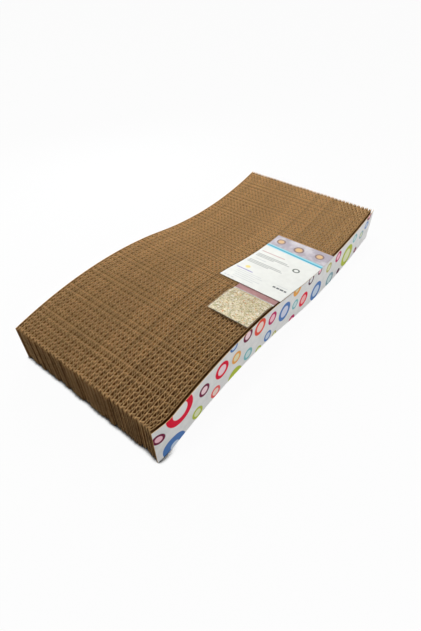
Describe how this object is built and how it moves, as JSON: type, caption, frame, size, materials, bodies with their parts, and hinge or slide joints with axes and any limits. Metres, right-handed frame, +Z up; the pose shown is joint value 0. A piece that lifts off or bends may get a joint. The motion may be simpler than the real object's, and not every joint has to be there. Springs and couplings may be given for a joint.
{
  "type": "cat scratcher",
  "caption": "Wave-shaped block of upright corrugated cardboard strips for cats to scratch, with printed side cards, a lifting label card and a catnip sachet tucked under it.",
  "frame": {"origin": "on the floor, under the middle of the block", "axes": "+X along the strips from the near (low) end to the far (raised) end, +Y towards the left side, +Z up"},
  "size_m": [0.44, 0.205, 0.0667],
  "materials": {
    "corrugated_board": "raw brown board, open flutes on the cut edges",
    "printed_card": "satin pale card with printed coloured rings",
    "label_card": "satin white card with plain printed bands",
    "clear_film": "thin clear film",
    "dried_catnip": "dry chopped leaf and stem",
    "header_strip": "matt mauve strip"
  },
  "bodies": {
    "block": {"strip_01": "corrugated_board", "strip_02": "corrugated_board", "strip_03": "corrugated_board", "strip_04": "corrugated_board", "strip_05": "corrugated_board", "strip_06": "corrugated_board", "strip_07": "corrugated_board", "strip_08": "corrugated_board", "strip_09": "corrugated_board", "strip_10": "corrugated_board", "strip_11": "corrugated_board", "strip_12": "corrugated_board", "strip_13": "corrugated_board", "strip_14": "corrugated_board", "strip_15": "corrugated_board", "strip_16": "corrugated_board", "strip_17": "corrugated_board", "strip_18": "corrugated_board", "strip_19": "corrugated_board", "strip_20": "corrugated_board", "strip_21": "corrugated_board", "strip_22": "corrugated_board", "strip_23": "corrugated_board", "strip_24": "corrugated_board", "strip_25": "corrugated_board", "strip_26": "corrugated_board", "strip_27": "corrugated_board", "strip_28": "corrugated_board", "strip_29": "corrugated_board", "strip_30": "corrugated_board", "strip_31": "corrugated_board", "strip_32": "corrugated_board", "strip_33": "corrugated_board", "strip_34": "corrugated_board", "side_board_left": "corrugated_board", "side_board_right": "corrugated_board", "printed_card_left": "printed_card", "printed_card_right": "printed_card", "label_header": "label_card"},
    "label_flap": {"label_flap": "label_card"},
    "sachet": {"sachet_back_film": "clear_film", "sachet_front_film": "clear_film", "catnip_flakes": "dried_catnip", "sachet_header": "header_strip"}
  },
  "joints": [
    {"name": "label_lift", "type": "hinge", "parent": "block", "child": "label_flap", "pos_m": [0.069, -0.062, 0.04637], "axis": [0, 1, 0], "range_deg": [0, 75]},
    {"name": "sachet_pull", "type": "slide", "parent": "block", "child": "sachet", "axis": [-0.9879, 0, 0.1549], "range_m": [0, 0.08]}
  ]
}
